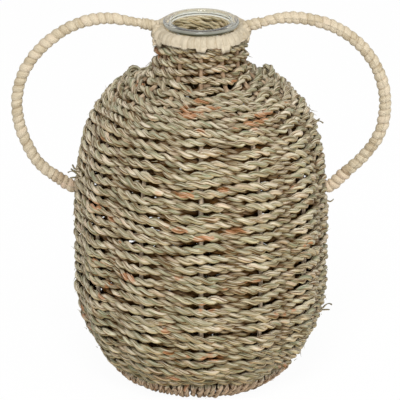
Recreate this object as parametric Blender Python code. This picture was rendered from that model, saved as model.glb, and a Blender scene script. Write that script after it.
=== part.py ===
import math

import bmesh
import bpy
from mathutils import Vector

# A jug vase: a round basket woven from twisted grass rope round twelve upright ribs,
# with two wrapped loop handles and a loose glass tube that hangs in its neck.
# Metres, +Z up. The origin is the middle of the foot, and the handles lie along X.

# Clearances
seat_gap = 0.0003
cut_overrun = 0.004
merge_gap = 0.00001

# Glass insert, hung by its lip
tube_radius = 0.0265
glass_wall = 0.0025
tube_length = 0.248
lip_radius = 0.0338
lip_thickness = 0.0034
mouth_radius = 0.0262
glass_steps = 32

# Weave
rib_count = 12
rib_diameter = 0.004
rope_diameter = 0.007
neck_rope_diameter = 0.005
row_pitch = 0.00475
gap_dip_share = 0.35
tube_play = 0.0015

# Outline of the basket's outer face
foot_radius = 0.0625
belly_radius = 0.1124
belly_low = 0.1009
belly_high = 0.1664
neck_height = 0.3205
neck_length = 0.029
shoulder_drop = 0.0714
foot_shares = [(0, 0), (0.053, 0.165), (0.176, 0.45), (0.35, 0.7), (0.543, 0.878), (0.743, 0.98), (1, 1)]
shoulder_shares = [(0, 1), (0.177, 0.978), (0.349, 0.935), (0.522, 0.868), (0.66, 0.76), (0.763, 0.62),
                   (0.839, 0.43), (0.894, 0.22), (0.94, 0.09), (1, 0.035)]
line_steps = 10
line_tolerance = 0.0005

# Foot border and woven base
foot_height = 0.014
foot_wraps = 36
foot_wrap_depth = 0.0008
foot_band_shares = [0, 0.5, 1]
toe_width = 0.0085
toe_thickness = 0.0035
base_steps = 24

# Neck ring and collar
collar_height = 0.0064
collar_wall = 0.0018
collar_strip = 0.001
collar_skirt = 0.0006
collar_tab = 0.0034
strips_per_rib = 3
tab_steps = 3
strip_depth = 0.0004

# Handles
handle_overhang = 0.0484
handle_lead = 0.0155
handle_clearance = 0.0108
handle_rise = 0.0108
loop_half_height = 0.0797
loop_start = math.radians(107)
loop_points = 9
seat_drop = 0.0083
core_diameter = 0.004
wrap_radius = 0.0053
wrap_turns = 42
wrap_depth = 0.0006
wrap_sides = 8
taper_length = 0.03
taper_share = 0.26
core_points = 30
lashing_radius = 0.0058
collar_lashing_length = 0.009
wall_lashing_length = 0.022
lashing_turn = 0.0032

# What follows from the sizes above
rib_radius = rib_diameter / 2
core_radius = core_diameter / 2
neck_radius = tube_radius + tube_play + 2 * neck_rope_diameter + rib_diameter
ring_radius = neck_radius - neck_rope_diameter - rib_radius
collar_top = neck_height + seat_gap + collar_height
ring_height = collar_top - collar_wall - seat_gap - rib_radius
rib_step = 2 * math.pi / rib_count
throat_height = neck_height - neck_length
shoulder_height = neck_height - shoulder_drop

# The loop of a handle starts clear of the collar and comes back in clear of the belly
handle_reach = belly_radius + handle_overhang
loop_half_width = (handle_reach - neck_radius - handle_lead) / (1 - math.cos(loop_start))
loop_middle = handle_reach - loop_half_width
loop_end = -math.acos((belly_radius + handle_clearance - loop_middle) / loop_half_width)
loop_middle_height = neck_height + handle_rise - loop_half_height
lower_seat_height = loop_middle_height + loop_half_height * math.sin(loop_end) - seat_drop


def clear_scene():
    for item in list(bpy.data.objects):
        bpy.data.objects.remove(item, do_unlink=True)


def make_material(name, colour, roughness, transmission=0.0):
    material = bpy.data.materials.new(name)
    material.use_nodes = True
    shader = material.node_tree.nodes["Principled BSDF"]
    shader.inputs["Base Color"].default_value = (*colour, 1.0)
    shader.inputs["Roughness"].default_value = roughness
    shader.inputs["Metallic"].default_value = 0.0
    shader.inputs["Transmission Weight"].default_value = transmission
    material.diffuse_color = (*colour, 1.0)
    return material


def add_object(name, data, material, parent):
    item = bpy.data.objects.new(name, data)
    if not data.materials:
        data.materials.append(material)
    bpy.context.scene.collection.objects.link(item)
    item.parent = parent
    return item


def finish_mesh(name, shape, material, parent, crease=0.7):
    bmesh.ops.recalc_face_normals(shape, faces=shape.faces)
    data = bpy.data.meshes.new(name)
    shape.to_mesh(data)
    shape.free()
    data.shade_smooth()
    data.set_sharp_from_angle(angle=crease)
    return add_object(name, data, material, parent)


def add_empty(name, height=0.0):
    empty = bpy.data.objects.new(name, None)
    empty.location = (0, 0, height)
    bpy.context.scene.collection.objects.link(empty)
    return empty


# Lines in a plane: lists of points, as 2-D vectors of the distance from the axis and the height

def smooth_line(points):
    # a smooth curve through all the points, its slope at each one weighted by the spans beside it
    spans = [(end - start).length for start, end in zip(points, points[1:])]
    slopes = [(end - start) / span for start, end, span in zip(points, points[1:], spans)]
    tangents = [slopes[0]]
    for before, after, span, next_span in zip(slopes, slopes[1:], spans, spans[1:]):
        tangents.append((before * next_span + after * span) / (span + next_span))
    tangents.append(slopes[-1])
    line = []
    for index, span in enumerate(spans):
        for step in range(line_steps):
            t = step / line_steps
            start_weight = 2 * t ** 3 - 3 * t ** 2 + 1
            leave_weight = (t ** 3 - 2 * t ** 2 + t) * span
            arrive_weight = (t ** 3 - t ** 2) * span
            line.append(points[index] * start_weight + points[index + 1] * (1 - start_weight)
                        + tangents[index] * leave_weight + tangents[index + 1] * arrive_weight)
    line.append(points[-1])
    return line


def line_length(line):
    return sum((end - start).length for start, end in zip(line, line[1:]))


def along(line, distance):
    # the point at a distance along a line, which runs straight on past both ends
    for start, end in zip(line, line[1:]):
        step = (end - start).length
        if distance <= step:
            return start + (end - start) * (distance / step)
        distance -= step
    return line[-1] + (line[-1] - line[-2]).normalized() * distance


def heading(line, distance):
    reach = rib_radius
    return (along(line, distance + reach) - along(line, distance - reach)).normalized()


def distance_at_height(line, height):
    travelled = 0
    for start, end in zip(line, line[1:]):
        if end.y >= height:
            return travelled + (end - start).length * (height - start.y) / (end.y - start.y)
        travelled += (end - start).length
    return travelled


def few_stops(line, start, end, depth_rule):
    # the distances along a line where an inner face needs a corner, closer together where it bends
    pitch = row_pitch / 2
    count = math.ceil((end - start) / pitch)
    stops = [start + (end - start) * index / count for index in range(count + 1)]
    places = [inward(line, stop, depth_rule) for stop in stops]
    kept = [0]
    while kept[-1] < count:
        first = kept[-1]
        last = first + 1
        while last < count and sag(places[first:last + 2]) < line_tolerance:
            last += 1
        kept.append(last)
    return [stops[index] for index in kept]


def sag(points):
    # the furthest that any point lies from the straight run between the first and the last
    run = (points[-1] - points[0]).normalized()
    return max(abs(run.cross(point - points[0])) for point in points)


def basket_line():
    # the outer face of the weave, from the floor up to the collar
    points = []
    for rise, spread in foot_shares:
        points.append(Vector((foot_radius + (belly_radius - foot_radius) * spread, belly_low * rise)))
    for rise, spread in shoulder_shares:
        radius = neck_radius + (belly_radius - neck_radius) * spread
        points.append(Vector((radius, belly_high + (throat_height - belly_high) * rise)))
    points.append(Vector((neck_radius, neck_height)))
    return smooth_line(points)


def rope_at(height):
    # the rope is drawn thinner from the shoulder up to the throat
    share = min(max((height - shoulder_height) / (throat_height - shoulder_height), 0), 1)
    return rope_diameter + (neck_rope_diameter - rope_diameter) * share


def rib_depth(height):
    return rope_at(height) + rib_radius


def channel_depth(height):
    return rope_at(height) - seat_gap


def inner_depth(height):
    return rib_depth(height) + rope_at(height) / 2


def inward(line, distance, depth_rule):
    # a point under the outer face, square to it, at the depth that the rule gives
    place = along(line, distance)
    run = heading(line, distance)
    return place + Vector((-run.y, run.x)) * depth_rule(place.y)


def turned_point(place, angle):
    return Vector((place.x * math.cos(angle), place.x * math.sin(angle), place.y))


# Solids made of rings of points

def join_rings(shape, rings, closed_ends=True):
    for lower, upper in zip(rings, rings[1:]):
        count = len(lower)
        for index in range(count):
            following = (index + 1) % count
            shape.faces.new((lower[index], lower[following], upper[following], upper[index]))
    if closed_ends:
        shape.faces.new(list(reversed(rings[0])))
        shape.faces.new(rings[-1])


def turned_ring(name, outline_rule, steps, material, parent):
    # a closed outline carried round the axis, where the rule may change it with the angle
    shape = bmesh.new()
    rings = []
    for step in range(steps):
        angle = 2 * math.pi * step / steps
        rings.append([shape.verts.new(turned_point(place, angle)) for place in outline_rule(step)])
    rings.append(rings[0])
    join_rings(shape, rings, closed_ends=False)
    return finish_mesh(name, shape, material, parent)


def turned_solid(name, outline, steps, material, parent):
    data = bpy.data.meshes.new(name)
    corners = [(place.x, 0, place.y) for place in outline]
    data.from_pydata(corners, [(index, index + 1) for index in range(len(corners) - 1)], [])
    item = add_object(name, data, material, parent)
    screw = item.modifiers.new("Turn", "SCREW")
    screw.steps = steps
    screw.render_steps = steps
    screw.use_merge_vertices = True
    screw.merge_threshold = merge_gap
    screw.use_smooth_shade = True
    return item


def wire(name, points, radius, material, parent, closed=False):
    data = bpy.data.curves.new(name, "CURVE")
    data.dimensions = "3D"
    data.bevel_depth = radius
    data.bevel_resolution = 1
    data.use_fill_caps = not closed
    spline = data.splines.new("POLY")
    spline.points.add(len(points) - 1)
    for corner, point in zip(spline.points, points):
        corner.co = (*point, 1)
    spline.use_cyclic_u = closed
    spline.use_smooth = True
    return add_object(name, data, material, parent)


def ring_wire(name, radius, height, material, parent):
    steps = 2 * rib_count
    points = [turned_point(Vector((radius, height)), 2 * math.pi * step / steps) for step in range(steps)]
    return wire(name, points, rib_radius, material, parent, closed=True)


def tube_ring(shape, centre, run, side, radius):
    # one ring of points round a handle, square to its line, mirrored for the left side
    across = Vector((-run.y, run.x))
    ring = []
    for index in range(wrap_sides):
        angle = 2 * math.pi * index / wrap_sides
        place = centre + across * (radius * math.cos(angle))
        ring.append(shape.verts.new((side * place.x, radius * math.sin(angle), place.y)))
    return ring


def sleeve(name, line, side, stops, radii, material, parent):
    # a ribbed tube along a handle's line, with a bore for the core
    shape = bmesh.new()
    outer = []
    for stop, radius in zip(stops, radii):
        outer.append(tube_ring(shape, along(line, stop), heading(line, stop), side, radius))
    bore = []
    for stop in corner_stops(line, stops[0], stops[-1]):
        bore.append(tube_ring(shape, along(line, stop), heading(line, stop), side, core_radius + seat_gap))
    join_rings(shape, outer + list(reversed(bore)) + [outer[0]], closed_ends=False)
    return finish_mesh(name, shape, material, parent)


def seat_cutter(name, line, side, start, end, parent):
    # the hole that a handle's core needs in what it enters
    shape = bmesh.new()
    rings = []
    for stop in corner_stops(line, start, end):
        rings.append(tube_ring(shape, along(line, stop), heading(line, stop), side, core_radius + seat_gap))
    join_rings(shape, rings)
    return finish_cutter(name, shape, parent)


def finish_cutter(name, shape, parent):
    cutter = finish_mesh(name, shape, make_material(name, (0.5, 0.5, 0.5), 0.5), parent)
    cutter.hide_render = True
    cutter.display_type = "WIRE"
    return cutter


def cut(item, cutter):
    modifier = item.modifiers.new(cutter.name, "BOOLEAN")
    modifier.operation = "DIFFERENCE"
    modifier.solver = "EXACT"
    modifier.object = cutter


# The pieces

def glass_insert(material, parent):
    # an open tube with a round bottom and a thick rolled lip, drawn from the lip's underside
    bottom = -tube_length + lip_thickness
    inner_radius = tube_radius - glass_wall
    outline = [Vector((0, bottom + glass_wall))]
    corners = 4
    for index in range(1, corners + 1):
        turn = math.pi / 2 * index / corners
        outline.append(Vector((inner_radius * math.sin(turn),
                               bottom + glass_wall + inner_radius * (1 - math.cos(turn)))))
    outline.append(Vector((inner_radius, -lip_thickness)))
    outline.append(Vector((mouth_radius, lip_thickness / 2)))
    outline.append(Vector((mouth_radius + lip_thickness / 4, lip_thickness)))
    roll = lip_thickness / 2
    for index in range(corners + 1):
        turn = math.pi / 2 - math.pi * index / corners
        outline.append(Vector((lip_radius - roll + roll * math.cos(turn), roll + roll * math.sin(turn))))
    outline.append(Vector((tube_radius + glass_wall / 2, 0)))
    outline.append(Vector((tube_radius, -glass_wall / 2)))
    for index in range(corners + 1):
        turn = math.pi / 2 * (1 - index / corners)
        outline.append(Vector((tube_radius * math.sin(turn), bottom + tube_radius * (1 - math.cos(turn)))))
    return turned_solid("glass_insert", outline, glass_steps, material, parent)


def woven_wall(line, material, parent):
    # one row for each turn of rope: it stands out over a rib, and behind the next one it dips
    start = distance_at_height(line, foot_height + seat_gap)
    end = line_length(line)
    rows = round((end - start) / row_pitch)
    columns = 2 * rib_count
    shape = bmesh.new()
    rings = []
    for row in range(rows + 1):
        stop = start + (end - start) * row / rows
        place = along(line, stop)
        relief = 0 if row in (0, rows) else rope_at(place.y) - rib_radius + seat_gap
        ring = []
        for column in range(columns):
            rib, between = divmod(column, 2)
            dip = relief * (gap_dip_share if between else (row + rib) % 2)
            point = place if not dip else inward(line, stop, lambda height, dip=dip: dip)
            ring.append(shape.verts.new(turned_point(point, rib_step * column / 2)))
        rings.append(ring)
    join_rings(shape, rings)
    wall = finish_mesh("woven_wall", shape, material, parent)
    cut(wall, wall_hollow(line, parent))
    return wall


def wall_hollow(line, parent):
    # the inside of the basket, with an open channel for each rib
    half_width = rib_radius + seat_gap
    shape = bmesh.new()
    rings = []
    for stop in rib_stops(line, -seat_gap, line_length(line) + cut_overrun):
        face = inward(line, stop, inner_depth)
        floor = inward(line, stop, channel_depth)
        ring = []
        for rib in range(rib_count):
            middle = rib_step * rib
            for place, width in ((face, -half_width), (floor, -half_width), (floor, half_width), (face, half_width)):
                ring.append(shape.verts.new(turned_point(place, middle + width / place.x)))
            ring.append(shape.verts.new(turned_point(face, middle + rib_step / 2)))
        rings.append(ring)
    join_rings(shape, rings, closed_ends=False)
    for ring, turn in ((rings[0], -1), (rings[-1], 1)):
        middle = shape.verts.new((0, 0, ring[0].co.z))
        for index, corner in enumerate(ring):
            shape.faces.new((middle, corner, ring[(index + turn) % len(ring)]))
    return finish_cutter("wall_hollow", shape, parent)


def rib_stops(line, start, end):
    # the ribs and their channels bend at the same heights
    return few_stops(line, start, end, rib_depth)


def base_ring_place(line):
    return inward(line, 0, rib_depth)


def ribs(line, material, parent):
    # each rib stands on the base ring and reaches up into the collar, under the neck ring
    lowest = rib_diameter + seat_gap
    top = ring_height - rib_radius - seat_gap
    stops = [stop for stop in rib_stops(line, -seat_gap, line_length(line) + cut_overrun) if stop > lowest]
    points = [inward(line, stop, rib_depth) for stop in [lowest] + stops]
    points = [place for place in points if place.y < top - rib_radius]
    points.append(Vector((ring_radius, top)))
    path = [(place.x, 0, place.y) for place in points]
    first = wire("rib_01", path, rib_radius, material, parent)
    for index in range(1, rib_count):
        rib = add_object(f"rib_{index + 1:02d}", first.data, material, parent)
        rib.rotation_euler = (0, 0, rib_step * index)


def foot_border(line, material, parent):
    # rope wrapped over the base ring: a band under the ribs, with a toe that the base lies on
    top = distance_at_height(line, foot_height)
    outer = [along(line, top * share) for share in foot_band_shares]
    heel = inward(line, 0, channel_depth)
    middle = inward(line, top / 2, channel_depth)
    upper = inward(line, top, channel_depth)
    brim = middle + (upper - middle) * ((foot_height - middle.y) / (upper.y - middle.y))
    toe_edge = foot_radius - toe_width
    inside = [brim, middle, heel, Vector((heel.x - seat_gap, toe_thickness)),
              Vector((toe_edge, toe_thickness)), Vector((toe_edge, 0))]

    def outline(step):
        dip = foot_wrap_depth * (step % 2)
        return [Vector((place.x - dip, place.y)) for place in outer] + inside

    return turned_ring("foot_border", outline, 2 * foot_wraps, material, parent)


def woven_base(line, material, parent):
    # the floor of the basket: rows of rope round the middle, lying on the foot's toe
    ring = base_ring_place(line)
    edge = ring.x - rib_radius - seat_gap
    low = toe_thickness + seat_gap
    high = low + rope_diameter
    rows = round(edge / rope_diameter)
    dent = rope_diameter / 6
    outline = [Vector((0, high)), Vector((edge - dent, high)), Vector((edge, high - dent))]
    for row in range(2 * rows, -1, -1):
        outline.append(Vector((edge * row / (2 * rows), low + (0 if row % 2 else dent))))
    return turned_solid("woven_base", outline, base_steps, material, parent)


def neck_collar(material, parent):
    # flat strips wound over the neck ring, open below, with a longer tab down over each rib
    inner = tube_radius + tube_play
    outer = neck_radius + seat_gap + collar_strip
    low = neck_height + seat_gap
    rounding = collar_wall
    cavity_outer = ring_radius + rib_radius + seat_gap + collar_strip
    cavity_inner = ring_radius - rib_radius - seat_gap - collar_strip
    roof = collar_top - collar_wall
    steps = 2 * strips_per_rib * rib_count

    def outline(step):
        dip = strip_depth * (step % 2)
        from_rib = (step + 1) % (2 * strips_per_rib)
        tail = low - (collar_tab if from_rib < tab_steps else collar_skirt)
        face = outer - dip
        return [
            Vector((neck_radius + seat_gap, tail)),
            Vector((face, tail)),
            Vector((face, collar_top - rounding)),
            Vector((face - rounding, collar_top - dip)),
            Vector((inner + rounding, collar_top - dip)),
            Vector((inner, collar_top - rounding)),
            Vector((inner, low)),
            Vector((cavity_inner, low)),
            Vector((cavity_inner, roof)),
            Vector((cavity_outer, roof)),
            Vector((cavity_outer, low)),
            Vector((neck_radius + seat_gap, low)),
        ]

    return turned_ring("neck_collar", outline, steps, material, parent)


def handle_line(line):
    # from the neck ring out round the loop and back in to the rib at the belly
    middle = Vector((loop_middle, loop_middle_height))
    points = [Vector((ring_radius, ring_height))]
    for index in range(loop_points):
        turn = loop_start + (loop_end - loop_start) * index / (loop_points - 1)
        points.append(middle + Vector((loop_half_width * math.cos(turn), loop_half_height * math.sin(turn))))
    seat = distance_at_height(line, lower_seat_height)
    face = along(line, seat).x
    rib = inward(line, seat, rib_depth).x
    points.append(Vector((face, lower_seat_height)))
    points.append(Vector((rib, lower_seat_height)))
    return smooth_line(points)


def evenly(start, end, count):
    return [start + (end - start) * index / count for index in range(count + 1)]


def corner_stops(line, start, end):
    # the ends of a stretch of a line, and the distances of its own corners between them
    stops = [start]
    travelled = 0
    for corner, following in zip(line, line[1:]):
        if start + seat_gap < travelled < end - seat_gap:
            stops.append(travelled)
        travelled += (following - corner).length
    return stops + [end]


def lashing(name, line, side, start, end, material, parent):
    turns = round((end - start) / lashing_turn)
    stops = evenly(start, end, 2 * turns)
    radii = [lashing_radius - wrap_depth * ((index + 1) % 2) for index in range(2 * turns + 1)]
    return sleeve(name, line, side, stops, radii, material, parent)


def handle(word, side, outline, wall, collar, materials, parent):
    # the core keeps its gap to the neck ring and to the rib that it is bound to
    curve = handle_line(outline)
    end_gap = rib_radius + seat_gap
    line = [along(curve, stop) for stop in evenly(end_gap, line_length(curve) - end_gap, core_points - 1)]
    length = line_length(line)
    wire(f"handle_core_{word}", [(side * place.x, 0, place.y) for place in line], core_radius,
         materials["wire"], parent)

    # the windings start outside the collar and end outside the weave
    collar_face = neck_radius + seat_gap + collar_strip + seat_gap
    wall_face = along(outline, distance_at_height(outline, lower_seat_height)).x
    first = stop_at_radius(line, collar_face)
    first += lashing_radius * abs(heading(line, first).y)
    last = length - (wall_face - line[-1].x) - 2 * seat_gap
    last -= lashing_radius * abs(heading(line, last).y)
    wrap_start = first + collar_lashing_length
    wrap_end = last - wall_lashing_length
    lashing(f"collar_lashing_{word}", line, side, first, wrap_start - seat_gap, materials["strip"], parent)
    lashing(f"wall_lashing_{word}", line, side, wrap_end + seat_gap, last, materials["tan_strip"], parent)

    stops = evenly(wrap_start, wrap_end, 2 * wrap_turns)
    radii = []
    for index, stop in enumerate(stops):
        taper = max(0, 1 - (stop - wrap_start) / taper_length)
        radii.append(wrap_radius * (1 - taper_share * taper) - wrap_depth * ((index + 1) % 2))
    sleeve(f"handle_wrap_{word}", line, side, stops, radii, materials["strip"], parent)

    cut(collar, seat_cutter(f"collar_hole_{word}", line, side, -seat_gap, first + cut_overrun, parent))
    cut(wall, seat_cutter(f"wall_hole_{word}", line, side, last - cut_overrun, length + seat_gap, parent))


def stop_at_radius(line, radius):
    travelled = 0
    for start, end in zip(line, line[1:]):
        if end.x >= radius:
            return travelled + (end - start).length * (radius - start.x) / (end.x - start.x)
        travelled += (end - start).length
    return travelled


def build():
    clear_scene()
    basket = add_empty("basket")
    glass_lift = add_empty("glass_lift", collar_top + seat_gap)
    materials = {
        "rope": make_material("Grass rope", (0.36, 0.31, 0.2), 0.85),
        "border_rope": make_material("Border rope", (0.34, 0.29, 0.18), 0.85),
        "floor_rope": make_material("Floor rope", (0.33, 0.29, 0.19), 0.85),
        "rib": make_material("Paper wound rib", (0.5, 0.37, 0.22), 0.8),
        "wire": make_material("Steel wire", (0.35, 0.34, 0.33), 0.45),
        "strip": make_material("Pale strip", (0.7, 0.61, 0.42), 0.75),
        "collar": make_material("Collar strip", (0.74, 0.65, 0.46), 0.75),
        "tan_strip": make_material("Tan strip", (0.5, 0.38, 0.24), 0.8),
        "glass": make_material("Clear glass", (0.8, 0.9, 0.86), 0.05, transmission=1.0),
    }
    line = basket_line()
    glass_insert(materials["glass"], glass_lift)
    wall = woven_wall(line, materials["rope"], basket)
    ribs(line, materials["rib"], basket)
    ring = base_ring_place(line)
    ring_wire("base_ring", ring.x, ring.y, materials["wire"], basket)
    foot_border(line, materials["border_rope"], basket)
    woven_base(line, materials["floor_rope"], basket)
    ring_wire("neck_ring", ring_radius, ring_height, materials["wire"], basket)
    collar = neck_collar(materials["collar"], basket)
    handle("right", 1, line, wall, collar, materials, basket)
    handle("left", -1, line, wall, collar, materials, basket)


build()
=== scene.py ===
import math
import bpy
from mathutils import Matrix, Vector


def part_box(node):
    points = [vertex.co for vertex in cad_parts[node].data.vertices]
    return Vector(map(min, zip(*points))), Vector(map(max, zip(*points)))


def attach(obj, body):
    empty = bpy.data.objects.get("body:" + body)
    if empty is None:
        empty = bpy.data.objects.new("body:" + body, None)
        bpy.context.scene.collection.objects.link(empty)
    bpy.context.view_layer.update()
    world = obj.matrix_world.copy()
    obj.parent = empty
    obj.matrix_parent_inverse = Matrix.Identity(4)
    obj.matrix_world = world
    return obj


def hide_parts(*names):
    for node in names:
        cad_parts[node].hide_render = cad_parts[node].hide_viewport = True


# Looks of a jug vase: a basket of twisted grass rope woven round twelve ribs,
# two strip-wound loop handles and a glass tube that lifts out of the neck.
# Metres, +Z up, the handles along X and the front towards -Y. Sizes and places are named.
# Bare numbers beside a noise are the pattern's scale, its start, its weight and its limits.

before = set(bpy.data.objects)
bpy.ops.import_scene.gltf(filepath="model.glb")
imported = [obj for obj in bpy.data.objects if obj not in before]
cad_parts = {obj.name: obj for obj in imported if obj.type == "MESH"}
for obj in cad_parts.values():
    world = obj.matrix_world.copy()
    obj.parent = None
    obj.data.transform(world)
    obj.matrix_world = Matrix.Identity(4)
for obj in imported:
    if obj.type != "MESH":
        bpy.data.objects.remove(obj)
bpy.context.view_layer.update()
fullTurn = 2 * math.pi
print("frame loaded:", len(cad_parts), "nodes")


# Camera, light and floor

view = {
    "elevation": 20.6,      # degrees above the horizon
    "distance": 5.5,
    "frameWidth": 0.3512,   # metres that the picture takes in at the vase
    "aimX": -0.0009,
    "aimZ": 0.1625,
    "sensorWidth": 36,
    "reach": 60,
}

light = {
    "world": 0.52,
    # where each softbox is, its size and its power
    "softboxes": {
        "keyLight": ((-0.1, -2.2, 2.5), 1.1, 81.0),
        "fillLight": ((2.4, -1.6, 1.2), 2.2, 24.0),
    },
    "aim": (0, 0, 0.15),
    "floorColour": (0.9, 0.9, 0.9),
    "floorReach": 20,
    "floorLift": 0.96,      # how far the floor is lifted to white for the camera
}


def addThing(name, data):
    thing = bpy.data.objects.new(name, data)
    bpy.context.scene.collection.objects.link(thing)
    return thing


def addCamera():
    data = bpy.data.cameras.new("photoCamera")
    camera = addThing("photoCamera", data)
    rise = math.radians(view["elevation"])
    aim = Vector((view["aimX"], 0, view["aimZ"]))
    back = Vector((0, -math.cos(rise), math.sin(rise)))
    camera.location = aim + back * view["distance"]
    camera.rotation_euler = (math.pi / 2 - rise, 0, 0)
    data.sensor_width = view["sensorWidth"]
    data.lens = data.sensor_width * view["distance"] / view["frameWidth"]
    data.clip_end = view["reach"]
    bpy.context.scene.camera = camera


def addSoftbox(name, place, size, power):
    data = bpy.data.lights.new(name, "AREA")
    data.shape = "SQUARE"
    data.size = size
    data.energy = power
    lamp = addThing(name, data)
    lamp.location = place
    lamp.rotation_euler = (Vector(light["aim"]) - Vector(place)).to_track_quat("-Z", "Y").to_euler()


# Nodes: small helpers, so that sums can be written as sums

def plug(node, values):
    # links or sets some of a node's inputs
    for place, value in values.items():
        if isinstance(value, Field):
            node.id_data.links.new(value.socket, node.inputs[place])
        else:
            node.inputs[place].default_value = value


def addNode(tree, kind, values=None, **settings):
    made = tree.nodes.new(kind)
    for name, setting in settings.items():
        setattr(made, name, setting)
    plug(made, values or {})
    return made


def take(tree, kind, values=None, output=0, **settings):
    return Field(addNode(tree, kind, values, **settings).outputs[output])


class Field:
    # a node's output that can be added, multiplied and so on
    def __init__(self, socket):
        self.socket = socket
        self.tree = socket.id_data
        self.isVector = socket.type == "VECTOR"

    def calc(self, action, *others):
        kind = "ShaderNodeMath"
        if self.isVector:
            kind = "ShaderNodeVectorMath"
            others = tuple((other,) * 3 if isinstance(other, (int, float)) else other for other in others)
        return take(self.tree, kind, dict(enumerate((self,) + others)), operation=action)

    def __add__(self, other):
        return self.calc("ADD", other)

    def __sub__(self, other):
        return self.calc("SUBTRACT", other)

    def __rsub__(self, other):
        return take(self.tree, "ShaderNodeMath", {0: other, 1: self}, operation="SUBTRACT")

    def __mul__(self, other):
        if self.isVector and not isinstance(other, tuple) and not getattr(other, "isVector", False):
            return take(self.tree, "ShaderNodeVectorMath", {0: self, 3: other}, operation="SCALE")
        return self.calc("MULTIPLY", other)

    def __truediv__(self, other):
        return self.calc("DIVIDE", other)

    def sine(self):
        return self.calc("SINE")

    def cosine(self):
        return self.calc("COSINE")

    def dot(self, other):
        return take(self.tree, "ShaderNodeVectorMath", {0: self, 1: other}, 1, operation="DOT_PRODUCT")

    def length(self):
        return self.dot(self).calc("SQRT")

    def part(self, axis):
        return take(self.tree, "ShaderNodeSeparateXYZ", {0: self}, axis)

    def around(self, radius, height):
        # the place at this angle about the vertical axis
        return join3(self.cosine() * radius, self.sine() * radius, height)

    def between(self, low, high, atLow=0.0, atHigh=1.0, smooth=False):
        # goes from one value to another between two limits
        values = {0: self, 1: low, 2: high, 3: atLow, 4: atHigh}
        kind = "SMOOTHSTEP" if smooth else "LINEAR"
        return take(self.tree, "ShaderNodeMapRange", values, interpolation_type=kind)

    def noise(self, scale=1.0, detail=1.0):
        # from -1 to 1, most of it in the middle
        made = take(self.tree, "ShaderNodeTexNoise", {"Vector": self, "Scale": scale, "Detail": detail})
        return (made - 0.5) * 2.0

    def then(self, kind, values=None, output=0, **settings):
        # the shape that a geometry node makes of this one
        return take(self.tree, "GeometryNode" + kind, {0: self, **(values or {})}, output, **settings)


def join3(x, y, z):
    return take(x.tree, "ShaderNodeCombineXYZ", {0: x, 1: y, 2: z})


def chance(tree, seed, low=0.0, high=1.0, **given):
    values = {2: low, 3: high, "Seed": seed, **given}
    return take(tree, "FunctionNodeRandomValue", values, 1, data_type="FLOAT")


def startTree(name, sizes):
    # sizes gives each named input its first value
    tree = bpy.data.node_groups.new(name, "GeometryNodeTree")
    tree.is_modifier = True
    kinds = {int: "NodeSocketInt", float: "NodeSocketFloat"}
    for side in ("INPUT", "OUTPUT"):
        tree.interface.new_socket("Geometry", in_out=side, socket_type="NodeSocketGeometry")
    for label, value in sizes.items():
        socket = tree.interface.new_socket(label, in_out="INPUT", socket_type=kinds[type(value)])
        socket.default_value = value
    tree.interface.new_socket("Material", in_out="INPUT", socket_type="NodeSocketMaterial")
    entry = tree.nodes.new("NodeGroupInput")
    fields = {label: Field(entry.outputs[label]) for label in (*sizes, "Material")}
    return tree, Field(entry.outputs["Geometry"]), fields


def endTree(shape, material):
    shape = shape.then("SetShadeSmooth").then("RealizeInstances").then("SetMaterial", {"Material": material})
    addNode(shape.tree, "NodeGroupOutput", {"Geometry": shape})
    return shape.tree


# Values that the points of a line carry while it grows into a piece

keptVectors = ("outward", "centre", "upward")
keptNumbers = ("ropeSize", "squash", "depth", "turn", "around", "along", "ply")


def keep(shape, **values):
    for name, value in values.items():
        kind = "FLOAT_VECTOR" if getattr(value, "isVector", False) else "FLOAT"
        named = {"Name": name, "Value": value}
        shape = shape.then("StoreNamedAttribute", named, data_type=kind, domain="POINT")
    return shape


def kept(tree, name):
    kind = "FLOAT_VECTOR" if name in keptVectors else "FLOAT"
    return take(tree, "GeometryNodeInputNamedAttribute", {"Name": name}, data_type=kind)


def move(shape, place):
    return shape.then("SetPosition", {"Position": place})


def placeOf(tree):
    return take(tree, "GeometryNodeInputPosition")


def joinShapes(shapes):
    made = shapes[0].tree.nodes.new("GeometryNodeJoinGeometry")
    for shape in shapes:
        plug(made, {0: shape})
    return Field(made.outputs[0])


def newLine(tree, count):
    # a line of so many points, and which point each one is
    line = take(tree, "GeometryNodeMeshLine", {"Count": count}).then("MeshToCurve")
    return line, take(tree, "GeometryNodeInputIndex")


def sampleLine(line, mode, values):
    # the place on a line, which way it runs there, and the value that it carries
    made = addNode(line.tree, "GeometryNodeSampleCurve", {0: line, **values}, mode=mode, use_all_curves=True)
    return [Field(made.outputs[name]) for name in ("Position", "Tangent", "Value")]


def sweep(line, sides, radius):
    # a round tube along a line, with how far round each point is
    ring = take(line.tree, "GeometryNodeCurvePrimitiveCircle", {"Resolution": sides, "Radius": 1.0})
    ring = keep(ring, around=take(line.tree, "GeometryNodeSplineParameter", output="Factor"))
    return line.then("CurveToMesh", {1: ring, 2: radius, 3: True})


def lineMesh(name, *lines, closed=False):
    data = bpy.data.meshes.new(name)
    edges = []
    start = 0
    for line in lines:
        last = start + len(line) - 1
        edges += [(index, index + 1) for index in range(start, last)]
        if closed:
            edges.append((last, start))
        start = last + 1
    data.from_pydata([tuple(point) for line in lines for point in line], edges, [])
    return addThing(name, data)


def upright(points):
    # a flat outline stood up in the plane of X and Z
    return [(point[0], 0, point[1]) for point in points]


def carry(thing, name, values):
    # stores a number or a vector on every point of a line
    kind, word = ("FLOAT", "value") if isinstance(values[0], float) else ("FLOAT_VECTOR", "vector")
    if word == "vector":
        values = [part for value in values for part in value]
    thing.data.attributes.new(name, kind, "POINT").data.foreach_set(word, values)


def fit(piece, body, slot, *nodes):
    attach(piece, body)
    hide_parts(*nodes)
    faces = sum(len(face.vertices) - 2 for face in piece.data.polygons)
    print(piece.name, faces, "triangles")


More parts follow.
